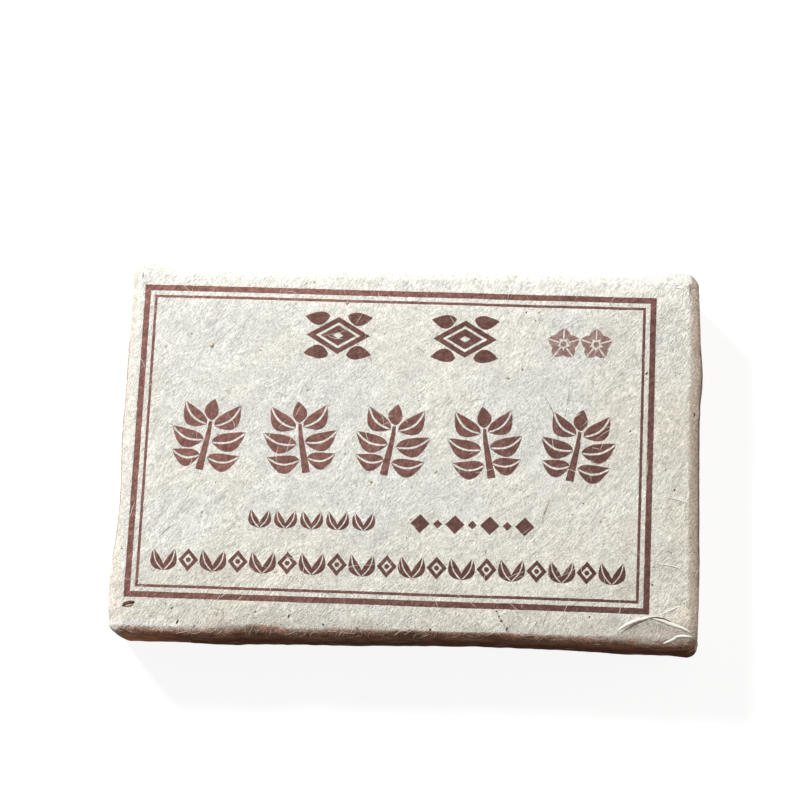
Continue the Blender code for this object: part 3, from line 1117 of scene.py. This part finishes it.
# Flecks that stand out: place on the top, length and width, in mm
CLEAR_DARK_CHIPS = (
    (-54.1, 28.4, 0.5, 0.35), (27.4, 35.2, 0.7, 0.3), (26.8, 20.6, 0.6, 0.4), (53.0, 5.9, 0.5, 0.4),
    (19.1, -24.6, 0.6, 0.35), (0.1, -21.6, 0.5, 0.3), (63.7, -8.4, 0.8, 0.35), (58.7, -31.6, 0.6, 0.5),
    (61.5, -3.6, 0.5, 0.3), (-49.3, -16.3, 0.6, 0.3), (68.9, 10.4, 1.2, 0.5), (56.7, 20.3, 0.9, 0.6),
    (22.0, -38.8, 0.6, 0.45), (22.6, -40.0, 0.6, 0.4), (23.2, -41.1, 0.7, 0.45), (24.6, -43.0, 0.9, 0.5),
    (-55.2, -39.8, 0.8, 0.4), (-53.8, -43.1, 1.3, 0.4), (-49.7, -44.0, 0.6, 0.5), (-27.2, -41.1, 1.0, 0.45),
    (-35.3, -40.3, 0.55, 0.45), (-19.0, -43.0, 0.6, 0.5), (-10.9, -43.8, 0.6, 0.5), (6.4, -43.6, 0.8, 0.6),
    (44.0, -39.7, 0.55, 0.5),
)
CLEAR_TAN_CHIPS = (
    (-49.0, 25.5, 1.3, 1.1), (6.6, -5.2, 1.1, 0.7), (29.0, -10.7, 1.4, 0.6), (33.3, -13.5, 4.5, 0.5),
    (-16.3, 37.0, 1.5, 0.8), (-66.9, 43.2, 1.6, 0.5), (-60.2, 25.0, 1.2, 0.5), (-44.4, -40.9, 1.9, 0.3),
)

# The husk that lies at the front left corner: a dark shell and the pale inside of it
HUSK_PLACE = (-65.8, -39.0)
HUSK_SIZE = np.array([3.3, 1.25]) * MM
HUSK_ANGLE = math.radians(14)
HUSK_THICKNESS = 0.5 * MM


def at_mm(x, y, z=HEIGHT / MM):
    """A place given in mm, at the level of the top unless its height is given too."""
    return Vector((x * MM, y * MM, z * MM))


def line_through(tree, places):
    """Places, outward ways and headings on the paper along a smooth line near three places."""
    first, middle, last = places
    handle = 2 * middle - (first + last) / 2
    count = max(4, round((last - first).length / LINE_STEP))
    line = []
    for i in range(count + 1):
        t = i / count
        spot = first * (1 - t) ** 2 + handle * 2 * t * (1 - t) + last * t ** 2
        heading = ((handle - first) * (1 - t) + (last - handle) * t).normalized()
        place, facing, *_ = tree.find_nearest(spot)
        line.append((place, facing, heading))
    return line


def place_lines(strands, tree, rows, **form):
    """The fibres or folds that stand out in the photograph."""
    for places, radius in rows:
        strands.add(line_through(tree, [at_mm(*place) for place in places]), radius * MM, **form)


def make_pale_fibres(tree):
    rng = random.Random(21)
    pale = Strands()
    for _ in range(PALE_FIBRES):
        heading = flat_heading(rng.gauss(math.radians(62), 0.8))
        line = walk(tree, spot_on_paper(rng), heading, rng.uniform(1.5, 7) * MM, 0.08, rng)
        pale.add(line, rng.uniform(0.04, 0.075) * MM)
    place_lines(pale, tree, CLEAR_PALE_LINES)
    pale.piece("pale_fibres", paper_strand("pale fibre", (0.67, 0.66, 0.61), 1.22))


def edge_spot(rng):
    """A place on the top close to the front edge."""
    return Vector((rng.uniform(-HALF[0], HALF[0]), -HALF[1] + rng.uniform(-1.2, 1.6) * MM, HEIGHT))


def make_edge_fibres(tree):
    """Fibres that stand out where the paper bends down over the front edge."""
    rng = random.Random(27)
    fibres = Strands()
    for _ in range(EDGE_FIBRES):
        heading = Vector((rng.choice((-1, 1)) * rng.uniform(0.3, 2.4), -1, -0.8))
        line = walk(tree, edge_spot(rng), heading, rng.uniform(1.2, 5) * MM, 0.09, rng, 0.4 * MM)
        fibres.add(line, rng.uniform(0.03, 0.07) * MM, raised=0.6)
    fibres.piece("edge_fibres", paper_strand("edge fibre", (0.58, 0.54, 0.48), 1.15))


def make_highlit_folds(tree):
    folds = Strands()
    # Pale strands painted as the highlight on the folds' ridges
    place_lines(folds, tree, HIGHLIT_FOLDS, raised=0.1, flatness=0.2)
    folds.piece("highlit_folds", strand_material("fold highlight", (0.76, 0.73, 0.66), (0.90, 0.88, 0.82)))


def make_dark_lines_and_shadows(tree):
    rng = random.Random(22)
    dark = Strands()
    for _ in range(DARK_FIBRES):
        heading = flat_heading(rng.uniform(0, math.pi))
        line = walk(tree, spot_on_paper(rng), heading, rng.uniform(1, 5) * MM, 0.16, rng, 0.4 * MM)
        dark.add(line, rng.uniform(0.03, 0.06) * MM)
    # Dark fibres together with the painted shadow lines under the crease and by the back right fold
    place_lines(dark, tree, CLEAR_DARK_LINES_AND_SHADOWS)
    dark.piece("dark_fibres_and_shadow_lines", strand_material("dark fibre and shadow line", (0.16, 0.10, 0.07), (0.34, 0.24, 0.17)))


def scatter_chips(strands, tree, count, lengths, slimness, rng):
    """Small flakes all over the paper, with the range of their lengths in mm and of width to length."""
    for _ in range(count):
        length = rng.uniform(*lengths) * MM
        size = (length, length * rng.uniform(*slimness))
        strands.add_chip(tree, spot_on_paper(rng), size, rng.uniform(0, math.pi), 0.04 * MM, rng)


def place_chips(strands, tree, rows, rng):
    """The flakes that stand out in the photograph."""
    for x, y, length, width in rows:
        angle = rng.uniform(0.6, 1.6)
        strands.add_chip(tree, at_mm(x, y), (length * MM, width * MM), angle, 0.05 * MM, rng)


def make_chips(tree):
    rng = random.Random(33)
    dark = Strands()
    clear = Strands()
    tan = Strands()
    scatter_chips(dark, tree, DARK_CHIPS, (0.18, 0.55), (0.4, 0.9), rng)
    scatter_chips(tan, tree, TAN_CHIPS, (0.35, 1.3), (0.3, 0.7), rng)
    place_chips(clear, tree, CLEAR_DARK_CHIPS, rng)
    place_chips(tan, tree, CLEAR_TAN_CHIPS, rng)
    dark.piece("dark_flecks", strand_material("dark bark", (0.10, 0.07, 0.05), (0.32, 0.23, 0.16)))
    clear.piece("clear_flecks", strand_material("darkest bark", (0.04, 0.03, 0.03), (0.14, 0.10, 0.08)))
    tan.piece("tan_flecks", strand_material("tan bark", (0.46, 0.37, 0.26), (0.64, 0.56, 0.43)))


def make_husk(tree):
    rng = random.Random(5)
    shell = strand_material("husk shell", (0.05, 0.02, 0.015), (0.17, 0.08, 0.05))
    inside = strand_material("husk inside", (0.50, 0.38, 0.27), (0.72, 0.62, 0.50))
    place = at_mm(*HUSK_PLACE)
    before = place - Vector((-0.2, 0.42, 0)) * MM
    parts = (
        ("husk_shell", place, HUSK_SIZE, shell),
        ("husk_inside", before, HUSK_SIZE * [0.76, 0.5], inside),
    )
    for name, middle, size, material in parts:
        chip = Strands()
        chip.add_chip(tree, middle, size, HUSK_ANGLE, HUSK_THICKNESS, rng, sides=14)
        chip.piece(name, material)


# Studio

FLOOR_SIZE = 6.0


def add_object(name, data):
    made = bpy.data.objects.new(name, data)
    bpy.context.scene.collection.objects.link(made)
    return made


def make_camera(to_origin):
    camera = add_object("camera", bpy.data.cameras.new("camera"))
    camera.data.lens = CAMERA_LENS
    camera.data.sensor_width = 36
    camera.location = CAMERA_PLACE + to_origin
    camera.rotation_euler = CAMERA_TURN
    bpy.context.scene.camera = camera


def area_light(name, place, size, power, colour):
    light = bpy.data.lights.new(name, "AREA")
    light.shape = "SQUARE"
    light.size = size
    light.energy = power
    light.color = colour
    lamp = add_object(name, light)
    lamp.location = place
    lamp.rotation_euler = (-Vector(place)).to_track_quat("-Z", "Y").to_euler()


def make_world(above, below):
    """Dim light from all round: nearly neutral from above and warm from below."""
    graph = Graph(bpy.data.worlds.new("studio"))
    height = graph.node("SeparateXYZ", Vector=graph.node("TexCoord").outputs["Generated"]).outputs["Z"]
    share = graph.node("MapRange", Value=height, From_Min=-0.25, From_Max=0.25).outputs[0]
    graph.put(graph.tree.nodes["Background"].inputs["Color"], graph.mix(share, below, above))
    bpy.context.scene.world = graph.owner


def make_floor():
    """A pale floor that shows a faint shadow and throws no light back onto the brick."""
    graph = Graph(bpy.data.materials.new("floor"))
    tone = graph.mix(graph.noise(400), (0.22, 0.22, 0.22), (0.20, 0.20, 0.20))
    inputs = graph.tree.nodes["Principled BSDF"].inputs
    graph.put(inputs["Base Color"], tone)
    inputs["Roughness"].default_value = 1.0
    inputs["Specular IOR Level"].default_value = 0.0
    inputs["Emission Color"].default_value = (1, 1, 1, 1)
    inputs["Emission Strength"].default_value = 0.9
    mesh = bpy.data.meshes.new("floor")
    mesh.from_pydata([(*corner, 0) for corner in box_loop(FLOOR_SIZE, FLOOR_SIZE)], [], [(0, 1, 2, 3)])
    mesh.materials.append(graph.owner)
    floor = add_object("floor", mesh)
    floor.visible_diffuse = False
    floor.visible_glossy = False


def make_studio(to_origin):
    make_camera(to_origin)
    make_floor()
    area_light("key", (-0.62, 0.66, 0.80), size=0.22, power=20.0, colour=(1.0, 0.985, 0.96))
    area_light("fill", (1.1, 0.25, 0.25), size=0.5, power=4.5, colour=(1.0, 0.93, 0.86))
    make_world(above=(0.17, 0.165, 0.16), below=(0.16, 0.12, 0.10))
    bpy.context.scene.view_settings.view_transform = "Standard"


paper = paper_material()
wrapper, to_origin = make_wrapper(paper)
tree = paper_tree(wrapper)
make_print(tree)
make_flaps(paper)
make_pale_fibres(tree)
make_edge_fibres(tree)
make_highlit_folds(tree)
make_dark_lines_and_shadows(tree)
make_chips(tree)
make_husk(tree)
for piece in dressing.objects:
    piece.data.transform(Matrix.Translation(to_origin))
make_studio(to_origin)
